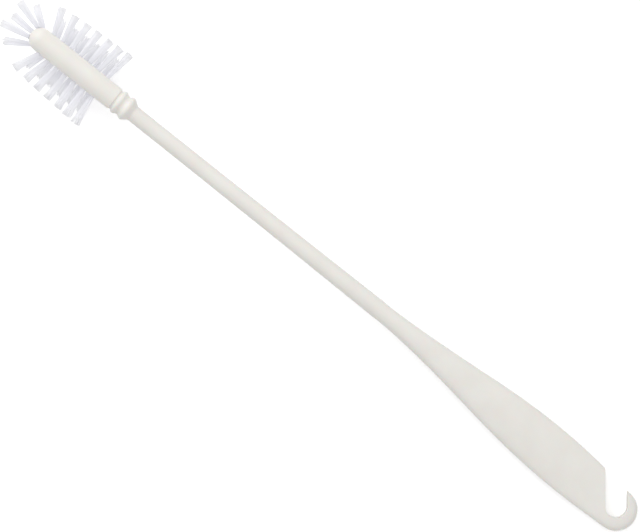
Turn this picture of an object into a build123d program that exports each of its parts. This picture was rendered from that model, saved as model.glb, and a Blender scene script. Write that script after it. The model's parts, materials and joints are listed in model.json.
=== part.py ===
from build123d import *
import math
import os

os.makedirs("parts", exist_ok=True)

# A bottle brush. One moulded polypropylene handle runs from a domed, drilled core at the brush end,
# over a collar and a round rod, to a flattened grip that ends in a hook. Nylon tufts sit in the core's
# holes: each is a bundle of filaments folded in half, pushed in fold first and held by a flat wire
# anchor that lies across the fold and bites into the wall of the hole.
#
# Millimetres. Everything is built straight first: the handle's axis is X, with the brush's tip towards
# -X, the hook towards +X and x = 0 at the foot of the collar. Y runs across the grip, left is +Y, and
# Z stands on the grip's upper face. The last section lays the finished brush down on its underside.

# ---- Driving dimensions: handle ----

core_radius = 6.0
core_length = 46.6  # the straight part, between the dome and the collar's groove
groove_width = 1.6
groove_depth = 0.65
ring_rise = 0.35  # how far the collar's two rings stand above the core
ring_width = 2.2
waist_width = 2.8
waist_depth = 0.55
shoulder_length = 2.4  # the slope from the second ring down to the rod
shoulder_fillet = 1.5

rod_neck_radius = 4.15
rod_end_radius = 4.7
rod_length = 154.5
grip_step = 0.02  # by which the grip's start stands proud of the rod, at the mould's parting ring

grip_length = 155.4  # from the end of the round rod to the middle of the hook's eye
grip_half_width = 12.8
grip_half_thickness = 4.9
grip_side_step = 4.05  # how far the hook's middle stands to the right of the rod's axis
ridge_fall_angle = 9.0  # slope of the two faces either side of the grip's ridge
ridge_softness = 0.2  # 0 would be a sharp ridge
edge_fullness = 6.0  # 2 would give the grip an elliptical edge
section_points = 12  # steps along each half of a section

# Plan of the grip: share of its length, and share of the way from the rod's radius to its half width
grip_plan = (
    (0.0, 0.0),
    (0.1, 0.031),
    (0.2, 0.165),
    (0.32, 0.385),
    (0.45, 0.667),
    (0.58, 0.9),
    (0.7, 1.0),
    (0.8, 0.985),
    (0.9, 0.885),
    (1.0, 0.735),
)
# Shares of the grip's length where the flattening begins, where the ridge is complete, where it starts
# to fade towards the hook, and where the hook's even thickness is reached
ridge_start = 0.05
ridge_full = 0.55
ridge_fade = 0.78
hook_start = 0.9

hook_half_thickness = 3.4
hook_slot_radius = 5.5
hook_slot_angle = 128.6  # direction in which the hook opens, measured from +X
hook_slot_offset = 1.6  # how far the slot's round end lies from the middle of the hook's outer curve
hook_edge_ease = 0.9  # size of the rounding along the slot's edges

# ---- Driving dimensions: tufts and anchors ----

hole_radius = 1.3
hole_depth = 3.6
tip_hole_depth = 3.0
bristle_clearance = 0.03  # between a bundle and the wall of its hole
tuft_tip_radius = 2.3
flare_start = 1.0  # height above the core where a bundle is free to spread
fold_radius = 0.6

side_row_angle = 90.0  # from the grip's upper face, round the core
back_row_angle = 135.0
side_row_count = 7
row_pitch = 5.65
first_tuft_from_dome = 3.3
first_tuft_length = 14.2  # free length of the side row's tuft nearest to the tip
last_tuft_length = 16.2
first_tuft_lean = 20.0  # degrees towards the tip
last_tuft_lean = -6.0
lean_fade = 2.2  # how quickly the lean falls off along the row

# Tufts in the dome: where each leaves it and where its free end lies, both as seen from the dome's
# middle, as (angle from the tip, angle round the core from the upper face)
tip_reach = 21.6
tip_tufts = (
    ((39.0, 90.0), (22.0, 90.0)),
    ((24.0, 270.0), (14.0, 270.0)),
    ((46.0, 174.0), (30.0, 176.0)),
    ((74.0, 131.0), (53.0, 136.0)),
    ((68.0, 236.0), (48.0, 226.0)),
)

anchor_thickness = 0.35
anchor_height = 1.4
anchor_bite = 0.25  # how far each end cuts into the wall of the hole
anchor_seat = 0.9  # height of the anchor above the bottom of the hole
anchor_clearance = 0.01

# ---- Places that follow from them ----

ring_two_end = -shoulder_length
ring_two_start = ring_two_end - ring_width
ring_one_end = ring_two_start - waist_width
ring_one_start = ring_one_end - ring_width
groove_start = ring_one_start - groove_width
dome_middle = groove_start - core_length
collar_arcs = (
    (groove_start, groove_width, -groove_depth),
    (ring_one_start, ring_width, ring_rise),
    (ring_one_end, waist_width, -waist_depth),
    (ring_two_start, ring_width, ring_rise),
)
hook_middle = Vector(rod_length + grip_length, -grip_side_step)


def around_core(radius, angle, x):
    """A point at this radius from the axis, at this angle round it from the upper face."""
    turn = math.radians(angle)
    return Vector(x, radius * math.sin(turn), radius * math.cos(turn))


def from_dome(radius, from_tip, angle):
    """A point at this distance from the dome's middle."""
    slope = math.radians(from_tip)
    return around_core(radius * math.sin(slope), angle, dome_middle - radius * math.cos(slope))


def smooth_share(value, start, end):
    """0 before start, 1 after end, and an even S between them."""
    share = min(max((value - start) / (end - start), 0.0), 1.0)
    return share * share * (3 - 2 * share)


def grip_section(share, width_share):
    """Plane, middle and left half outline of the grip at a share of its length: from a half circle at
    the rod it turns into half of a low roof with round edges."""
    flat = smooth_share(share, ridge_start, ridge_full)
    ridge = flat * (1 - smooth_share(share, ridge_fade, 1.0))
    thinning = smooth_share(share, ridge_full, hook_start)
    start_radius = rod_end_radius + grip_step
    half_width = start_radius + (grip_half_width - start_radius) * width_share
    half_thickness = start_radius + (grip_half_thickness - start_radius) * flat
    half_thickness += (hook_half_thickness - half_thickness) * thinning
    fall = ridge * math.tan(math.radians(ridge_fall_angle)) * half_width / half_thickness
    fullness = 2.0 + (edge_fullness - 2.0) * flat
    middle = -grip_side_step * share**1.6
    outline = []
    for step in range(section_points + 1):
        turn = math.pi * (0.5 - step / section_points)
        out = abs(math.cos(turn))
        roof = 1 - fall * (math.hypot(out, ridge_softness) - ridge_softness)
        height = half_thickness * roof * math.sqrt(max(1 - out**fullness, 0.0))
        outline.append((middle + half_width * math.cos(turn), math.copysign(height, math.sin(turn))))
    plane = Plane(origin=(rod_length + share * grip_length, 0, 0), x_dir=(0, 1, 0), z_dir=(1, 0, 0))
    return plane, middle, outline


# ---- Where the tufts stand ----

# Each place is a plane at the mouth of a hole, its Z out along the tuft and its X along the handle,
# with the hole's depth and the tuft's free length.
tuft_places = {}


def place_tuft(name, mouth, direction, depth, length):
    """Records the plane of one tuft, with its X as near to the handle's axis as it can be."""
    outward = direction.normalized()
    sideways = outward.cross(Vector(1, 0, 0))
    tuft_places[name] = (Plane(origin=mouth, x_dir=sideways.cross(outward), z_dir=outward), depth, length)


def place_row(name, angle, count, first_x, first_share):
    """A row of leaning tufts along the core; the shares run from 0 at the first side tuft to 1."""
    for index in range(count):
        x = first_x + index * row_pitch
        share = first_share + index / (side_row_count - 1)
        lean = last_tuft_lean + (first_tuft_lean - last_tuft_lean) * (1 - share) ** lean_fade
        length = first_tuft_length + (last_tuft_length - first_tuft_length) * share
        out = around_core(math.cos(math.radians(lean)), angle, -math.sin(math.radians(lean)))
        place_tuft(f"tuft_{name}_{index + 1}", around_core(core_radius, angle, x), out, hole_depth, length)


side_row_x = dome_middle + first_tuft_from_dome
half_step = 0.5 / (side_row_count - 1)
place_row("left_side", side_row_angle, side_row_count, side_row_x, 0.0)
place_row("right_side", -side_row_angle, side_row_count, side_row_x, 0.0)
place_row("left_back", back_row_angle, side_row_count - 1, side_row_x + row_pitch / 2, half_step)
place_row("right_back", -back_row_angle, side_row_count - 1, side_row_x + row_pitch / 2, half_step)
for number, (mouth_angles, end_angles) in enumerate(tip_tufts, start=1):
    tip_mouth = from_dome(core_radius, *mouth_angles)
    tip_run = from_dome(tip_reach, *end_angles) - tip_mouth
    place_tuft(f"tuft_tip_{number}", tip_mouth, tip_run, tip_hole_depth, tip_run.length)

anchor_length = 2 * (hole_radius + anchor_bite)
anchor_places = [
    plane.offset(anchor_seat - depth).location for plane, depth, length in tuft_places.values()
]
ANCHOR_FOOT = (Align.CENTER, Align.CENTER, Align.MIN)

# ---- Handle ----

with BuildPart() as handle:
    # Core, collar and rod are turned about the axis
    with BuildSketch(Plane.XZ) as turned_profile:
        with BuildLine():
            CenterArc((dome_middle, 0), core_radius, 90, 90)
            Line((dome_middle, core_radius), (groove_start, core_radius))
            for start, width, bulge in collar_arcs:
                ThreePointArc(
                    (start, core_radius),
                    (start + width / 2, core_radius + bulge),
                    (start + width, core_radius),
                )
            Line((ring_two_end, core_radius), (0, rod_neck_radius))
            ThreePointArc(
                (0, rod_neck_radius),
                (rod_length / 2, rod_neck_radius + (rod_end_radius - rod_neck_radius) / 4),
                (rod_length, rod_end_radius),
            )
            Polyline((rod_length, rod_end_radius), (rod_length, 0), (dome_middle - core_radius, 0))
        make_face()
        neck_corner = turned_profile.vertices().filter_by_position(Axis.X, -0.01, 0.01)
        fillet(neck_corner, shoulder_fillet)
    revolve(axis=Axis.X)

    # Grip, a loft through its sections
    for share, width_share in grip_plan:
        section_plane, section_middle, half_outline = grip_section(share, width_share)
        with BuildSketch(section_plane):
            with BuildLine():
                Spline(half_outline, tangents=((1, 0), (-1, 0)))
                mirror(about=Plane(origin=(section_middle, 0, 0), z_dir=(1, 0, 0)))
            make_face()
    loft()

    # Round end of the hook: half of the grip's last section, turned about the middle of its curve
    with BuildSketch(section_plane):
        with BuildLine():
            Spline(half_outline, tangents=((1, 0), (-1, 0)))
            Line(half_outline[-1], half_outline[0])
        make_face()
    revolve(axis=Axis(hook_middle, (0, 0, 1)), revolution_arc=-180)

    # Slot of the hook, open to one side
    slot_turn = math.radians(hook_slot_angle)
    slot_way = Vector(math.cos(slot_turn), math.sin(slot_turn))
    slot_side = Vector(slot_way.Y, -slot_way.X) * hook_slot_radius
    slot_middle = hook_middle + slot_way * hook_slot_offset
    slot_depth = grip_half_width * 2
    with BuildSketch(Plane.XY):
        with Locations(slot_middle):
            Circle(hook_slot_radius)
        with Locations(Location(slot_middle, (0, 0, hook_slot_angle - 90))):
            Rectangle(2 * hook_slot_radius, slot_depth, align=(Align.CENTER, Align.MIN))
    extrude(amount=grip_half_thickness * 2, both=True, mode=Mode.SUBTRACT)

    # Its edges are eased: a corner piece with one round side is swept along the wall of the slot
    with BuildLine(mode=Mode.PRIVATE) as slot_wall:
        Line(slot_middle + slot_way * slot_depth - slot_side, slot_middle - slot_side)
        ThreePointArc(
            slot_middle - slot_side,
            slot_middle - slot_way * hook_slot_radius,
            slot_middle + slot_side,
        )
        Line(slot_middle + slot_side, slot_middle + slot_side + slot_way * slot_depth)
    ease_top = hook_half_thickness + 0.15 * hook_edge_ease
    ease_foot = hook_half_thickness - hook_edge_ease
    with BuildSketch(Plane(origin=slot_wall.line @ 0, x_dir=slot_side * -1, z_dir=slot_way * -1)) as corner:
        with BuildLine():
            ThreePointArc(
                (0, ease_foot),
                (0.3 * hook_edge_ease, ease_foot + 0.82 * hook_edge_ease),
                (1.1 * hook_edge_ease, ease_top),
            )
            Polyline(
                (1.1 * hook_edge_ease, ease_top),
                (1.1 * hook_edge_ease, grip_half_thickness * 2),
                (-hook_edge_ease, grip_half_thickness * 2),
                (-hook_edge_ease, ease_foot),
                (0, ease_foot),
            )
        make_face()
    sweep(path=slot_wall.line, mode=Mode.SUBTRACT)

    # Holes for the tufts, with the cuts that the anchors' ends make
    for plane, depth, length in tuft_places.values():
        with Locations(plane.offset(-depth).location):
            Cylinder(hole_radius, depth + core_radius, align=ANCHOR_FOOT, mode=Mode.SUBTRACT)
    with Locations(*anchor_places):
        Box(
            anchor_length + 2 * anchor_clearance,
            anchor_thickness + 2 * anchor_clearance,
            anchor_height,
            align=ANCHOR_FOOT,
            mode=Mode.SUBTRACT,
        )

# ---- Anchors ----

with BuildPart() as tuft_anchors:
    with Locations(*anchor_places):
        Box(anchor_length, anchor_thickness, anchor_height - anchor_clearance, align=ANCHOR_FOOT)

# ---- Tufts ----

bundle_radius = hole_radius - bristle_clearance
tufts = {}
for name, (plane, depth, length) in tuft_places.items():
    with BuildPart() as tuft:
        with BuildSketch(plane.offset(bristle_clearance - depth)):
            Circle(bundle_radius)
        extrude(amount=depth - bristle_clearance + flare_start)
        fillet(tuft.edges().group_by(Axis(plane.origin, plane.z_dir))[0], fold_radius)
        with BuildSketch(plane.offset(flare_start)):
            Circle(bundle_radius)
        with BuildSketch(plane.offset(length)):
            Circle(tuft_tip_radius)
        loft()
        with Locations(plane.offset(anchor_seat - depth).location):
            Box(
                anchor_length,
                anchor_thickness + 2 * anchor_clearance,
                anchor_height,
                align=ANCHOR_FOOT,
                mode=Mode.SUBTRACT,
            )
    tufts[name] = tuft

# ---- Lying down ----

# The brush rests on the ends of its back rows and on the underside of its hook, so the handle slopes
# down from the brush to the hook. Each step turns it by what the two ends still differ in height.


def lowest(pieces, slope):
    """Height of the lowest point of some pieces once the handle slopes by this much."""
    return min(piece.part.rotate(Axis.Y, slope).bounding_box().min.Z for piece in pieces)


back_tufts = [piece for name, piece in tufts.items() if "_back_" in name]
rest_span = hook_middle.X - side_row_x
slope = 0.0
for _ in range(4):
    difference = lowest([handle], slope) - lowest(back_tufts, slope)
    slope += math.degrees(math.atan(difference / rest_span))

lying = Location((0, 0, 0), (0, slope, 0))
boxes = [piece.part.moved(lying).bounding_box() for piece in (handle, *tufts.values())]
low_x = min(box.min.X for box in boxes)
high_x = max(box.max.X for box in boxes)
low_y = min(box.min.Y for box in boxes)
high_y = max(box.max.Y for box in boxes)
low_z = min(box.min.Z for box in boxes)
at_rest = Location((-(low_x + high_x) / 2, -(low_y + high_y) / 2, -low_z)) * lying

for name, piece in {"handle": handle, "tuft_anchors": tuft_anchors, **tufts}.items():
    piece.part.move(at_rest)
    piece.part.label = name
    export_step(piece.part, f"parts/{name}.step")
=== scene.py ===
import json
import math
import random

import bpy
import numpy as np
from bpy.props import (
    FloatProperty,
    FloatVectorProperty,
    IntProperty,
    PointerProperty,
    StringProperty,
)
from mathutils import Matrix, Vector

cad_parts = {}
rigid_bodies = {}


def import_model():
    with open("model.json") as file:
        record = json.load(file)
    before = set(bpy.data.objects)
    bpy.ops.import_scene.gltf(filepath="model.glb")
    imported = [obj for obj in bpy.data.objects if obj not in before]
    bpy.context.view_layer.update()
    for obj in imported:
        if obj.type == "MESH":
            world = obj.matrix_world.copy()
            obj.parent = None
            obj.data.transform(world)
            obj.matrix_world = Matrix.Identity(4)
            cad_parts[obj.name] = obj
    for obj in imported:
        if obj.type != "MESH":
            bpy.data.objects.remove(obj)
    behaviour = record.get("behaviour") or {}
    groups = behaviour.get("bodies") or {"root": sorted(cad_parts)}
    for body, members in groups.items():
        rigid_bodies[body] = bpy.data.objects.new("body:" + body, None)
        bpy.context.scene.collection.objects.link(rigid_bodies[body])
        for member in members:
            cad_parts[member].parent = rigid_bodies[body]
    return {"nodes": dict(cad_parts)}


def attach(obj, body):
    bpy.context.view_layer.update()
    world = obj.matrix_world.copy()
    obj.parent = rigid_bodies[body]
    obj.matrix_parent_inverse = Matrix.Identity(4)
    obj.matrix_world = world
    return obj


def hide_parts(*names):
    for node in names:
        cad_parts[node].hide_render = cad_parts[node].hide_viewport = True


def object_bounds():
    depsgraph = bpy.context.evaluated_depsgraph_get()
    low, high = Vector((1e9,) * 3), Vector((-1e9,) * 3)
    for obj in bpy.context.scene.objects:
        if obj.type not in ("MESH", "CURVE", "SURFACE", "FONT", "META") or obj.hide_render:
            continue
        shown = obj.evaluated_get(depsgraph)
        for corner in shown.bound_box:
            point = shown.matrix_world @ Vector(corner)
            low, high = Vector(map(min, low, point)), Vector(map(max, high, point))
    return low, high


bl_info = {
    "name": "Bottle brush",
    "version": (1, 0, 0),
    "blender": (4, 5, 0),
    "location": "3D View > Sidebar > Brush",
    "description": "Finishes the moulded handle and fills its core with tufts of nylon filament",
    "category": "Add Mesh",
}

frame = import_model()
LOW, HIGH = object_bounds()

MM = 0.001
BODY = "root"
# Tufts beside the collar that use has splayed, and how much wider their free ends are
SPLAYED = {"tuft_right_side_6": 1.1, "tuft_right_side_7": 1.25}

# How the CAD meshes are read: digits that tell corners apart, and stretches at which places are taken
CORNER_DIGITS = 7
END_SLICE = 1 * MM
RIM_SLICE = 0.2 * MM
TIP_READING = 8 * MM
RING_HALF_WIDTH = 2.5 * MM

# Finishes: PLASTIC_SHEEN is how far the plastic's roughness strays from its mean, either way
MERGE_DISTANCE = 0.002 * MM
TONE_RAMP = (0.3, 0.7)
PLASTIC_SHEEN = 0.04
WIRE_GRAIN = 0.3 * MM
WIRE_ROUGHNESS = (0.3, 0.5)
WHITE = (1.0, 1.0, 1.0, 1.0)

# Shape of one filament: the share of its length up to its first ring, the share past which only its free
# end lies, and the angle from each filament to the next, which fills a disc evenly
FIRST_RING = 0.08
FREE_END = 0.99
GOLDEN_ANGLE = math.radians(137.508)

# Random draws. LEAN is for a whole bundle and the others are for one filament. A pair holds the ends of
# a range, and a single value is drawn either way.
# Lengths in millimetres, of which STRAY_BENT is for a tuft that is splayed to twice its width
LEAN = 0.35
STRAY_SHORTER = (0.5, 2.5)
STRAY_BENT = (3.0, 9.0)
CURL = 0.2
# Angles in radians
ROOT_TURN = 0.25
TWIST = 0.35
# Factors on a radius
ROOT_PLACE = (0.93, 1.05)
SPREAD = (0.9, 1.06)
STRAY_SPREAD = (1.05, 1.3)
# Slope of the cut, and place on the ramp from the dark tone to the light one
END_SLANT = 0.5
THREAD_TONE = (0.25, 1.0)
# Standard deviation of the cut, as a share of its setting
CUT_DEVIATION = 0.5
# How much of its tone a filament keeps at its root: painted shade, darker where the filaments crowd
ROOT_PAINTED_SHADE = 0.35
# Seeds from one setting of the seed to the next, more than there are tufts
SEEDS_APART = 1000
# A tuft whose upward share is over this counts as upright
STEEP = 0.9
# Powers that shape how a bundle opens, leans and bends from its hole to its free end
OPEN_POWER = 0.9
LEAN_POWER = 2
BEND_POWER = 1.3

# The stage, in metres and watts, with the camera's sensor in millimetres. The soft box hangs LAMP_RISE
# up the view from LAMP_BASE.
FLOOR_SIZE = 8.0
LAMP_BASE = (-0.65, 0, 0.8)
LAMP_RISE = 0.5
LAMP_AIM = (-0.1, 0, 0)
LAMP_SIZE = 0.9
LAMP_POWER = 4.8
CLIP_END = 20.0
SENSOR_WIDTH = 36.0


# ---- Places read from the frame ----


def node_points(node):
    """The corners of a CAD node's mesh, as an array of points."""
    return np.array([v.co for v in frame["nodes"][node].data.vertices], float).reshape(-1, 3)


def tuft_nodes():
    """Names of the CAD nodes that stand for tufts, in a fixed order."""
    return sorted(n for n in frame["nodes"] if n.startswith("tuft_") and n != "tuft_anchors")


def tuft_axis(node, core_start, core_end):
    """Bottom of a tuft's hole, outward direction and length, from the long axis of its solid."""
    points = np.unique(np.round(node_points(node), CORNER_DIGITS), axis=0)
    middle = points.mean(axis=0)
    values, vectors = np.linalg.eigh(np.cov((points - middle).T))
    way = vectors[:, np.argmax(values)]
    along = (points - middle) @ way
    near = points[along < along.min() + END_SLICE].mean(axis=0)
    far = points[along > along.max() - END_SLICE].mean(axis=0)
    if line_distance(near, core_start, core_end) > line_distance(far, core_start, core_end):
        way, along = -way, -along
    # The free end is flat, so its rim gives the tuft's true middle there
    rim = points[along > along.max() - RIM_SLICE].mean(axis=0)
    length = along.max() - along.min()
    return rim - way * length, way, length


def line_distance(point, start, end):
    """Distance of a point from the stretch between start and end."""
    run = end - start
    share = np.clip(np.dot(point - start, run) / np.dot(run, run), 0, 1)
    return np.linalg.norm(point - start - share * run)


def core_line():
    """The middle of the core near the tip and at the last anchor, from rings of the handle's corners."""
    anchors = node_points("tuft_anchors")
    handle = node_points("handle")
    ends = []
    for x in (handle[:, 0].min() + TIP_READING, anchors[:, 0].max()):
        ring = handle[np.abs(handle[:, 0] - x) < RING_HALF_WIDTH]
        low, high = ring.min(axis=0), ring.max(axis=0)
        ends.append(np.array([x, (low[1] + high[1]) / 2, (low[2] + high[2]) / 2]))
    return ends


# ---- Materials ----


def linear(hex_colour):
    """An sRGB hex colour as the linear RGBA that Blender's sockets take."""
    levels = [int(hex_colour[i : i + 2], 16) / 255 for i in (0, 2, 4)]
    return (*(c / 12.92 if c <= 0.04045 else ((c + 0.055) / 1.055) ** 2.4 for c in levels), 1.0)


def add_node(owner, kind, settings=None, **links):
    """Adds a shader node to a material or world, sets its values and links its inputs to outputs."""
    node = owner.node_tree.nodes.new(kind)
    for key, value in (settings or {}).items():
        if key in node.inputs:
            node.inputs[key].default_value = value
        else:
            setattr(node, key, value)
    for key, socket in links.items():
        owner.node_tree.links.new(socket, node.inputs[key.replace("_", " ")])
    return node


def new_material(name):
    """An empty node material and its output node."""
    material = bpy.data.materials.new(name)
    material.use_nodes = True
    material.node_tree.nodes.clear()
    return material, add_node(material, "ShaderNodeOutputMaterial")


def moulded_polypropylene(settings):
    """Polypropylene, injection moulded: an off-white, waxy satin with a faintly uneven skin. Its soft
    patches of tone are about 12 mm wide. The grain of the mould is drawn about 0.6 mm wide and very
    shallow, and only breaks up the sheen."""
    material, output = new_material("moulded polypropylene")
    place = add_node(material, "ShaderNodeTexCoord").outputs["Object"]
    clouds = add_node(
        material,
        "ShaderNodeTexNoise",
        {"Scale": 1 / settings.tone_patch, "Detail": 2.0, "Roughness": 0.5},
        Vector=place,
    )
    tone = add_node(material, "ShaderNodeValToRGB", Fac=clouds.outputs["Fac"])
    tone.color_ramp.elements[0].position = TONE_RAMP[0]
    tone.color_ramp.elements[1].position = TONE_RAMP[1]
    tone.color_ramp.elements[0].color = linear(settings.shade_hex)
    tone.color_ramp.elements[1].color = linear(settings.colour_hex)
    grain = add_node(
        material,
        "ShaderNodeTexNoise",
        {"Scale": 1 / settings.grain_size, "Detail": 3.0, "Roughness": 0.6},
        Vector=place,
    )
    relief = add_node(
        material,
        "ShaderNodeBump",
        {"Strength": 0.06, "Distance": 0.02 * MM},
        Height=grain.outputs["Fac"],
    )
    sheen = add_node(
        material,
        "ShaderNodeMapRange",
        {"To Min": settings.roughness - PLASTIC_SHEEN, "To Max": settings.roughness + PLASTIC_SHEEN},
        Value=grain.outputs["Fac"],
    )
    surface = add_node(
        material,
        "ShaderNodeBsdfPrincipled",
        {"IOR": 1.49, "Subsurface Weight": 0.15, "Subsurface Scale": 1.0 * MM},
        Base_Color=tone.outputs["Color"],
        Normal=relief.outputs["Normal"],
        Roughness=sheen.outputs["Result"],
    )
    material.node_tree.links.new(surface.outputs["BSDF"], output.inputs["Surface"])
    return material


def drawn_nylon(settings):
    """Nylon filament, drawn and cut: near-clear white threads that look faintly lilac in a bundle, with
    painted shade that makes each thread a little darker at the root, where they crowd. Each thread's tone
    differs slightly from the next. The emission is a fitted stand-in, not a property of nylon, and would
    show as a glow in a dark scene."""
    material, output = new_material("drawn nylon filament")
    tint = add_node(material, "ShaderNodeAttribute", {"attribute_name": "thread_tone_and_root_shade"})
    # The ramp carries each thread's random tone and the painted shade at its root
    tone = add_node(material, "ShaderNodeValToRGB", Fac=tint.outputs["Fac"])
    tone.color_ramp.elements[0].color = linear(settings.shade_hex)
    tone.color_ramp.elements[1].color = linear(settings.colour_hex)
    surface = add_node(
        material,
        "ShaderNodeBsdfPrincipled",
        {"IOR": 1.53, "Roughness": 0.42, "Emission Strength": settings.inner_light},
        Base_Color=tone.outputs["Color"],
        Emission_Color=tone.outputs["Color"],
    )
    through = add_node(material, "ShaderNodeBsdfTranslucent", Color=tone.outputs["Color"])
    links = material.node_tree.links
    mix = add_node(material, "ShaderNodeMixShader", {"Fac": settings.clearness})
    links.new(surface.outputs["BSDF"], mix.inputs[1])
    links.new(through.outputs["BSDF"], mix.inputs[2])
    gap = add_node(material, "ShaderNodeBsdfTransparent", {"Color": WHITE})
    clear = add_node(material, "ShaderNodeMixShader", {"Fac": settings.see_through})
    links.new(mix.outputs["Shader"], clear.inputs[1])
    links.new(gap.outputs["BSDF"], clear.inputs[2])
    links.new(clear.outputs["Shader"], output.inputs["Surface"])
    return material


def cut_steel_wire():
    """Stainless flat wire, rolled and cut: a dull grey metal with a slightly uneven sheen."""
    material, output = new_material("rolled stainless wire")
    place = add_node(material, "ShaderNodeTexCoord").outputs["Object"]
    grain = add_node(material, "ShaderNodeTexNoise", {"Scale": 1 / WIRE_GRAIN, "Detail": 2.0}, Vector=place)
    rough = add_node(
        material,
        "ShaderNodeMapRange",
        {"To Min": WIRE_ROUGHNESS[0], "To Max": WIRE_ROUGHNESS[1]},
        Value=grain.outputs["Fac"],
    )
    surface = add_node(
        material,
        "ShaderNodeBsdfPrincipled",
        {"Base Color": linear("B9BABC"), "Metallic": 1.0},
        Roughness=rough.outputs["Result"],
    )
    material.node_tree.links.new(surface.outputs["BSDF"], output.inputs["Surface"])
    return material


def studio_paper(settings):
    """A flat sheet of matt white paper. The camera, reflections and clear plastics see it a little
    lighter than it lights the brush, so that it stays white and still takes the brush's shadow."""
    material, output = new_material("white studio paper")
    links = material.node_tree.links
    rays = add_node(material, "ShaderNodeLightPath")
    seen = rays.outputs["Is Camera Ray"]
    for ray in ("Is Glossy Ray", "Is Transmission Ray"):
        either = add_node(material, "ShaderNodeMath", {"operation": "MAXIMUM"})
        links.new(seen, either.inputs[0])
        links.new(rays.outputs[ray], either.inputs[1])
        seen = either.outputs[0]
    paper = add_node(material, "ShaderNodeBsdfDiffuse", {"Color": linear(settings.paper_hex)})
    white = add_node(material, "ShaderNodeBsdfDiffuse", {"Color": WHITE})
    glow = add_node(material, "ShaderNodeEmission", {"Strength": settings.paper_lift})
    bright = add_node(material, "ShaderNodeAddShader")
    links.new(white.outputs["BSDF"], bright.inputs[0])
    links.new(glow.outputs["Emission"], bright.inputs[1])
    mix = add_node(material, "ShaderNodeMixShader", Fac=seen)
    links.new(paper.outputs["BSDF"], mix.inputs[1])
    links.new(bright.outputs["Shader"], mix.inputs[2])
    links.new(mix.outputs["Shader"], output.inputs["Surface"])
    return material


# ---- Settings ----


class HandleSettings(bpy.types.PropertyGroup):
    """Finish of the moulded handle"""

    colour_hex: StringProperty(
        name="Colour", description="Light tone of the plastic, as sRGB hex", default="F2F0EA"
    )
    shade_hex: StringProperty(
        name="Shade", description="Slightly darker tone of the plastic", default="EFECE6"
    )
    tone_patch: FloatProperty(
        name="Tone patch", description="Width of the soft patches of tone", default=12 * MM, unit="LENGTH"
    )
    grain_size: FloatProperty(
        name="Grain", description="Width of the mould's grain", default=0.6 * MM, unit="LENGTH"
    )
    roughness: FloatProperty(name="Roughness", description="Mean roughness", default=0.42, subtype="FACTOR")
    crease_angle: FloatProperty(
        name="Crease angle",
        description="Edges sharper than this stay sharp",
        default=math.radians(32),
        subtype="ANGLE",
    )


class TuftSettings(bpy.types.PropertyGroup):
    """Filaments of the tufts"""

    thread_width: FloatProperty(
        name="Filament", description="Diameter of one filament", default=0.3 * MM, unit="LENGTH"
    )
    thread_count: IntProperty(name="Filaments", description="Free filament ends in one tuft", default=56)
    root_radius: FloatProperty(
        name="Root radius", description="Radius of a bundle in its hole", default=1.08 * MM, unit="LENGTH"
    )
    end_radius: FloatProperty(
        name="End radius", description="Radius of a bundle at its free end", default=2.35 * MM, unit="LENGTH"
    )
    start_height: FloatProperty(
        name="Start",
        description="Height over the hole's bottom at which filaments start, clear of the anchor",
        default=2.55 * MM,
        unit="LENGTH",
    )
    held_length: FloatProperty(
        name="Held",
        description="Height over the hole's bottom up to which a bundle stays straight",
        default=4.1 * MM,
        unit="LENGTH",
    )
    tip_held_length: FloatProperty(
        name="Held at the tip", description="The same height in the dome", default=3.6 * MM, unit="LENGTH"
    )
    cut_spread: FloatProperty(
        name="Cut", description="How unevenly the free ends are trimmed", default=0.55 * MM, unit="LENGTH"
    )
    colour_hex: StringProperty(name="Colour", description="Light tone of the nylon", default="FFFFFF")
    shade_hex: StringProperty(name="Shade", description="Dark tone of the nylon", default="F8F8FB")
    clearness: FloatProperty(
        name="Clearness",
        description="Share of light that passes through a filament and is scattered",
        default=0.5,
        subtype="FACTOR",
    )
    strays: FloatProperty(
        name="Strays",
        description="Share of filaments that stand out of a tuft",
        default=0.04,
        subtype="FACTOR",
    )
    ruffled: FloatProperty(
        name="Ruffled", description="The same share in the splayed tufts", default=0.14, subtype="FACTOR"
    )
    see_through: FloatProperty(
        name="See-through",
        description="Share of light that a filament lets by unturned",
        default=0.25,
        subtype="FACTOR",
    )
    inner_light: FloatProperty(
        name="Inner light",
        description="Light added to the nylon, fitted to reach its pale tone; 0 turns it off",
        default=0.15,
    )
    seed: IntProperty(name="Seed", description="Start of the random draws", default=7)


class StageSettings(bpy.types.PropertyGroup):
    """Paper, room and camera"""

    paper_hex: StringProperty(
        name="Paper", description="Tone of the paper that lights the brush", default="B4B4B4"
    )
    paper_lift: FloatProperty(name="Lift", description="Extra light of the paper as seen", default=0.35)
    near_light: FloatProperty(
        name="Near light", description="Brightness of the room towards the top of the view", default=0.85
    )
    far_light: FloatProperty(
        name="Far light", description="Brightness of the room towards the foot of the view", default=0.70
    )
    picture_width: FloatProperty(
        name="Width", description="Width that the camera sees", default=0.3168, unit="LENGTH"
    )
    camera_height: FloatProperty(
        name="Height", description="Height of the camera", default=2.4, unit="LENGTH"
    )
    roll: FloatProperty(
        name="Roll",
        description="Turn of the camera about its view",
        default=math.radians(38.6),
        subtype="ANGLE",
    )
    aim: FloatVectorProperty(
        name="Aim",
        description="Point that the camera looks at",
        default=(-0.0012, -0.0013, 0.01),
        subtype="TRANSLATION",
    )


# ---- Building steps ----


def deselect_all():
    """Leaves no object selected, so that an operator acts on its own piece alone."""
    for piece in bpy.context.view_layer.objects:
        piece.select_set(False)


def ride_in_slot(piece, slot, *nodes):
    """Every new piece moves with the brush and stands for its CAD nodes, which it hides. The slot is not
    used.
    """
    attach(piece, BODY)
    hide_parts(*nodes)


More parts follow.
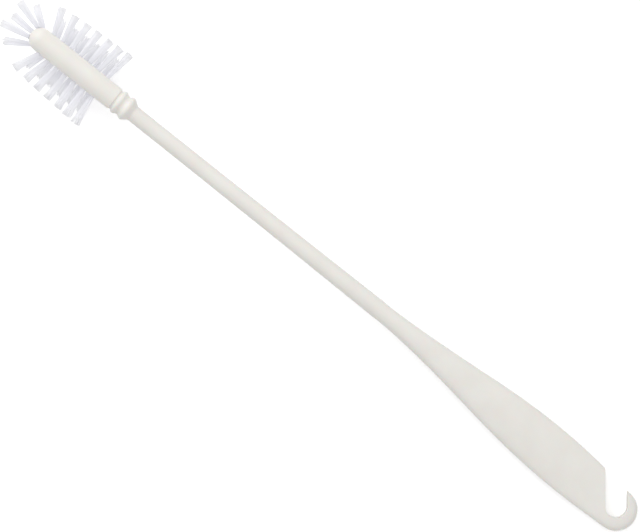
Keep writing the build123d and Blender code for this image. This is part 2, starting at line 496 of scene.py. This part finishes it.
class BRUSH_OT_mould_handle(bpy.types.Operator):
    """Merges a copy of the handle's surface, smooths its shading and gives it the moulded finish"""

    bl_idname = "brush.mould_handle"
    bl_label = "Mould handle"

    def execute(self, context):
        settings = context.scene.brush_handle
        source = frame["nodes"]["handle"]
        handle = bpy.data.objects.new("handle_moulding", source.data.copy())
        context.scene.collection.objects.link(handle)
        deselect_all()
        handle.select_set(True)
        context.view_layer.objects.active = handle
        if handle.data.has_custom_normals:
            bpy.ops.mesh.customdata_custom_splitnormals_clear()
        bpy.ops.object.mode_set(mode="EDIT")
        bpy.ops.mesh.select_all(action="SELECT")
        bpy.ops.mesh.remove_doubles(threshold=MERGE_DISTANCE)
        bpy.ops.object.mode_set(mode="OBJECT")
        if not handle.data.polygons:
            raise RuntimeError("the handle has no faces left after its corners were merged")
        bpy.ops.object.shade_smooth_by_angle(angle=settings.crease_angle)
        handle.data.materials.clear()
        handle.data.materials.append(moulded_polypropylene(settings))
        ride_in_slot(handle, "handle_polypropylene", "handle")
        return {"FINISHED"}


class BRUSH_OT_seat_anchors(bpy.types.Operator):
    """Gives the flat wire anchors in the holes their metal"""

    bl_idname = "brush.seat_anchors"
    bl_label = "Seat anchors"

    def execute(self, context):
        anchors = frame["nodes"]["tuft_anchors"]
        if not anchors.data.polygons:
            raise RuntimeError("the anchors have no faces")
        anchors.data.materials.clear()
        anchors.data.materials.append(cut_steel_wire())
        return {"FINISHED"}


def model_thread(width, sides=5, steps=5):
    """Corners and faces of one straight filament of unit length along Z, with rings where it can bend."""
    deselect_all()
    bpy.ops.mesh.primitive_cylinder_add(
        vertices=sides, radius=width / 2, depth=1.0, location=(0, 0, 0.5), end_fill_type="NGON"
    )
    thread = bpy.context.object
    bpy.ops.object.transform_apply(location=True, rotation=True, scale=True)
    bpy.ops.object.mode_set(mode="EDIT")
    # The first ring keeps the root straight for a short way, and the others share out the rest
    for step in range(1, steps):
        height = FIRST_RING + (1 - FIRST_RING) * (step - 1) / (steps - 1)
        bpy.ops.mesh.select_all(action="SELECT")
        bpy.ops.mesh.bisect(plane_co=(0, 0, height), plane_no=(0, 0, 1))
    bpy.ops.object.mode_set(mode="OBJECT")
    points = np.array([v.co for v in thread.data.vertices], float)
    faces = [list(p.vertices) for p in thread.data.polygons]
    bpy.data.objects.remove(thread)
    return points, faces


def spiral_share(index, count):
    """The place of one of count even places over a disc, as radius share and angle."""
    return math.sqrt((index + 0.5) / count), index * GOLDEN_ANGLE


def bundle(name, bottom, way, length, held, thread, settings, splay, dice):
    """One tuft: its filaments leave the hole together, spread into a fan and are trimmed."""
    points, faces = thread
    share = points[:, 2]
    # Two directions across the tuft, found with the help of one that it doesn't follow
    helper = Vector((0, 0, 1)) if abs(way[2]) < STEEP else Vector((1, 0, 0))
    side = Vector(way).cross(helper).normalized()
    other = Vector(way).cross(side).normalized()
    side, other = np.array(side), np.array(other)
    start = settings.start_height
    lean = (dice.uniform(-LEAN, LEAN) * MM, dice.uniform(-LEAN, LEAN) * MM)
    corners, polygons, tones_and_root_shade = [], [], []
    for index in range(settings.thread_count):
        radius, turn = spiral_share(index, settings.thread_count)
        turn += dice.uniform(-ROOT_TURN, ROOT_TURN)
        radius = min(radius * dice.uniform(*ROOT_PLACE), 1.0)
        stray = dice.random() < (settings.ruffled if splay > 1 else settings.strays)
        widened = dice.uniform(*(STRAY_SPREAD if stray else SPREAD))
        spread = settings.end_radius * splay * radius * widened
        reach = length - start - abs(dice.gauss(0, CUT_DEVIATION)) * settings.cut_spread
        reach -= dice.uniform(*STRAY_SHORTER) * MM if stray else 0
        # Strays of a splayed tuft are bent towards the handle
        bent = dice.uniform(*STRAY_BENT) * (splay - 1) * MM if stray else 0
        reach -= bent
        twist = turn + dice.uniform(-TWIST, TWIST)
        curl = dice.uniform(-CURL, CURL) * MM
        # Nought as far up as the bundle is held, rising to 1 at the free end
        free = np.clip((share * reach - (held - start)) / (reach - (held - start)), 0, 1)
        opening = free**OPEN_POWER
        out = settings.root_radius * radius * (1 - opening) + spread * opening
        angle = turn * (1 - opening) + twist * opening
        bow = curl * np.sin(free * math.pi)
        along_side = out * np.cos(angle) + bow + lean[0] * free**LEAN_POWER + points[:, 0]
        along_other = out * np.sin(angle) + lean[1] * free**LEAN_POWER + points[:, 1]
        slant = points[:, 0] * dice.uniform(-END_SLANT, END_SLANT) * (share > FREE_END)
        place = (
            bottom
            + np.outer(start + share * reach + slant, way)
            + np.outer(along_side, side)
            + np.outer(along_other, other)
        )
        place[:, 0] += bent * free**BEND_POWER
        # Ends that reach the table rest on it
        place[:, 2] = np.maximum(place[:, 2], LOW[2])
        base = len(corners)
        corners.extend(place.tolist())
        polygons.extend([base + v for v in face] for face in faces)
        tone = dice.uniform(*THREAD_TONE)
        # Painted shade: each filament's tone darkens towards its root
        tones_and_root_shade.extend((tone * (ROOT_PAINTED_SHADE + (1 - ROOT_PAINTED_SHADE) * free)).tolist())
    mesh = bpy.data.meshes.new(name)
    mesh.from_pydata(corners, [], polygons)
    mesh.attributes.new("thread_tone_and_root_shade", "FLOAT", "POINT").data.foreach_set("value", tones_and_root_shade)
    mesh.validate()
    if len(mesh.polygons) != len(faces) * settings.thread_count:
        raise RuntimeError(f"{name} lost faces when its mesh was checked")
    mesh.shade_smooth()
    tuft = bpy.data.objects.new(name, mesh)
    bpy.context.scene.collection.objects.link(tuft)
    return tuft


class BRUSH_OT_fill_tufts(bpy.types.Operator):
    """Fills each hole of the core with a bundle of nylon filaments"""

    bl_idname = "brush.fill_tufts"
    bl_label = "Fill tufts"

    def execute(self, context):
        settings = context.scene.brush_tufts
        nylon = drawn_nylon(settings)
        thread = model_thread(settings.thread_width)
        core_start, core_end = core_line()
        nodes = tuft_nodes()
        if not nodes:
            raise RuntimeError("the frame has no tufts to fill")
        for number, node in enumerate(nodes):
            dice = random.Random(settings.seed * SEEDS_APART + number)
            bottom, way, length = tuft_axis(node, core_start, core_end)
            splay = SPLAYED.get(node, 1.0)
            held = settings.tip_held_length if "_tip_" in node else settings.held_length
            tuft = bundle(node + "_filaments", bottom, way, length, held, thread, settings, splay, dice)
            tuft.data.materials.append(nylon)
            ride_in_slot(tuft, "bristle_nylon", node)
        return {"FINISHED"}


def area_lamp(name, place, aim, size, power):
    """A square soft box that points at aim."""
    lamp = bpy.data.lights.new(name, "AREA")
    lamp.shape = "SQUARE"
    lamp.size = size
    lamp.energy = power
    holder = bpy.data.objects.new(name, lamp)
    holder.location = place
    holder.rotation_euler = (Vector(aim) - Vector(place)).to_track_quat("-Z", "Y").to_euler()
    bpy.context.scene.collection.objects.link(holder)


class BRUSH_OT_set_stage(bpy.types.Operator):
    """Lays the paper, hangs the soft box and sets the camera above the brush"""

    bl_idname = "brush.set_stage"
    bl_label = "Set stage"

    def execute(self, context):
        settings = context.scene.brush_stage
        scene = context.scene
        distance = settings.camera_height - settings.aim[2]
        if settings.picture_width <= 0 or distance <= 0:
            raise RuntimeError("the camera needs a width to see and a place above its aim")
        deselect_all()
        bpy.ops.mesh.primitive_plane_add(size=FLOOR_SIZE, location=(0, 0, 0))
        floor = context.object
        floor.name = "paper_floor"
        floor.data.materials.append(studio_paper(settings))

        world = bpy.data.worlds.new("studio")
        scene.world = world
        world.use_nodes = True
        # The room is a little brighter towards the top of the view than towards its foot
        up = Vector((-math.sin(settings.roll), math.cos(settings.roll), 0))
        way = add_node(world, "ShaderNodeTexCoord").outputs["Generated"]
        side = add_node(world, "ShaderNodeVectorMath", {"operation": "DOT_PRODUCT"}, Vector=way)
        side.inputs[1].default_value = up
        fall = add_node(
            world,
            "ShaderNodeMapRange",
            {"From Min": -1.0, "To Min": settings.far_light, "To Max": settings.near_light},
            Value=side.outputs["Value"],
        )
        seen = add_node(world, "ShaderNodeLightPath")
        strength = add_node(world, "ShaderNodeMath", {"operation": "MAXIMUM"})
        world.node_tree.links.new(fall.outputs["Result"], strength.inputs[0])
        world.node_tree.links.new(seen.outputs["Is Camera Ray"], strength.inputs[1])
        background = world.node_tree.nodes["Background"]
        background.inputs["Color"].default_value = WHITE
        world.node_tree.links.new(strength.outputs["Value"], background.inputs["Strength"])

        lamp_place = up * LAMP_RISE + Vector(LAMP_BASE)
        area_lamp("key_soft_box", lamp_place, LAMP_AIM, LAMP_SIZE, LAMP_POWER)

        camera = bpy.data.objects.new("camera", bpy.data.cameras.new("camera"))
        camera.data.sensor_width = SENSOR_WIDTH
        camera.data.lens = camera.data.sensor_width * distance / settings.picture_width
        camera.data.clip_end = CLIP_END
        camera.location = (settings.aim[0], settings.aim[1], settings.camera_height)
        camera.rotation_euler = (0, 0, settings.roll)
        scene.collection.objects.link(camera)
        scene.camera = camera
        scene.view_settings.view_transform = "Standard"
        return {"FINISHED"}


class BRUSH_PT_steps(bpy.types.Panel):
    """The building steps, in order"""

    bl_label = "Bottle brush"
    bl_space_type = "VIEW_3D"
    bl_region_type = "UI"
    bl_category = "Brush"

    def draw(self, context):
        for operator in STEPS:
            self.layout.operator(operator.bl_idname)


STEPS = (BRUSH_OT_mould_handle, BRUSH_OT_seat_anchors, BRUSH_OT_fill_tufts, BRUSH_OT_set_stage)
CLASSES = (HandleSettings, TuftSettings, StageSettings, *STEPS, BRUSH_PT_steps)


def register():
    """Makes the steps and their settings known to Blender."""
    for item in CLASSES:
        bpy.utils.register_class(item)
    bpy.types.Scene.brush_handle = PointerProperty(type=HandleSettings)
    bpy.types.Scene.brush_tufts = PointerProperty(type=TuftSettings)
    bpy.types.Scene.brush_stage = PointerProperty(type=StageSettings)


def unregister():
    """Takes the steps and their settings out again."""
    del bpy.types.Scene.brush_handle
    del bpy.types.Scene.brush_tufts
    del bpy.types.Scene.brush_stage
    for item in reversed(CLASSES):
        bpy.utils.unregister_class(item)


def main():
    """Runs the steps in order."""
    register()
    bpy.ops.brush.mould_handle()
    bpy.ops.brush.seat_anchors()
    bpy.ops.brush.fill_tufts()
    bpy.ops.brush.set_stage()


if __name__ == "__main__":
    main()
